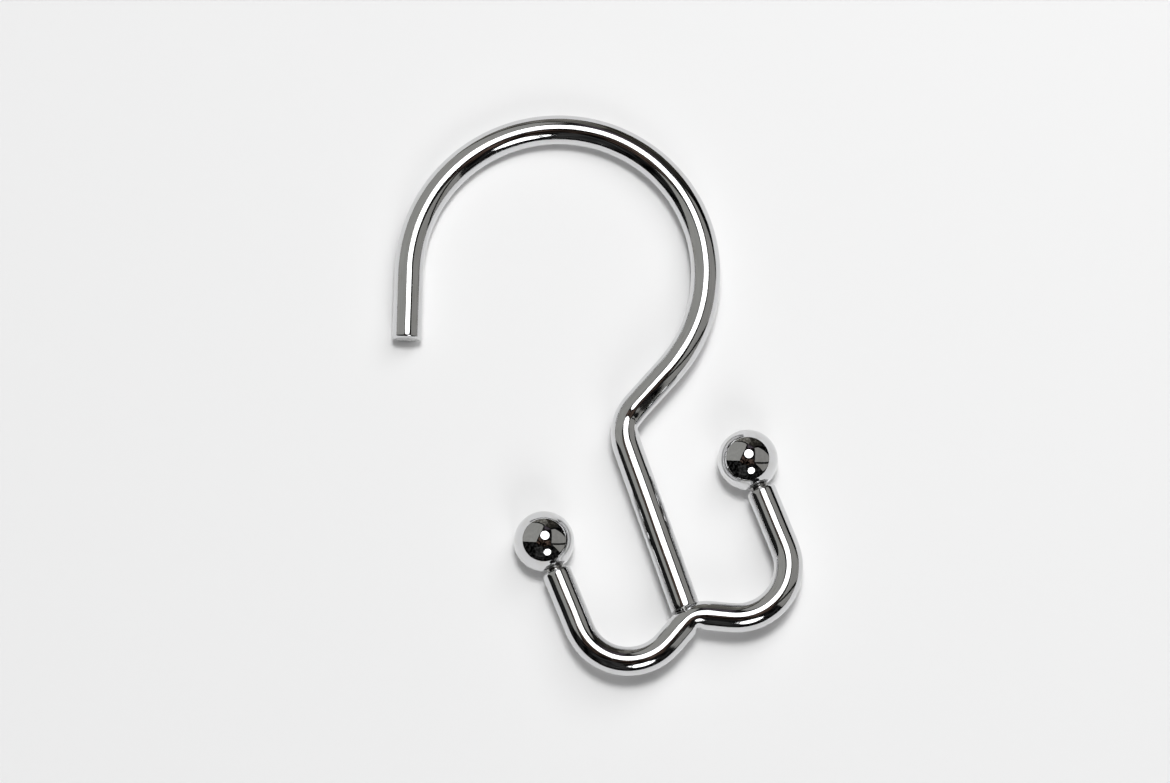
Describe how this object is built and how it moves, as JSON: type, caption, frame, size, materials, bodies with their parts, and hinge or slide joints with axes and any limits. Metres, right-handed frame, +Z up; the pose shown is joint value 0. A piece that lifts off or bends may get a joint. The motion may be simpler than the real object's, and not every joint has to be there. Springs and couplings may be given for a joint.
{
  "type": "double shower curtain hook",
  "caption": "Bent-wire shower curtain hook: an open loop goes over the rod, and a twin hook with ball ends, welded under its stem, carries the curtain and its liner.",
  "frame": {"origin": "centre of the footprint, on the surface the hook lies on", "axes": "+Z up from that surface; +Y along the stem towards the loop, seen from above; +X to the right of the stem, away from the loop's free end"},
  "size_m": [0.0462, 0.078, 0.0082],
  "materials": {
    "wire": "bright chrome plating over drawn steel wire, with faint drawing lines and hairline scratches",
    "balls": "bright chrome plating over a polished steel ball",
    "welds": "chrome plating over an unground resistance weld, a little duller and uneven"
  },
  "bodies": {
    "root": {"hook_wire": "wire", "twin_hook_wire": "wire", "left_ball": "balls", "right_ball": "balls", "stem_weld": "welds", "left_ball_weld": "welds", "right_ball_weld": "welds"}
  },
  "joints": []
}
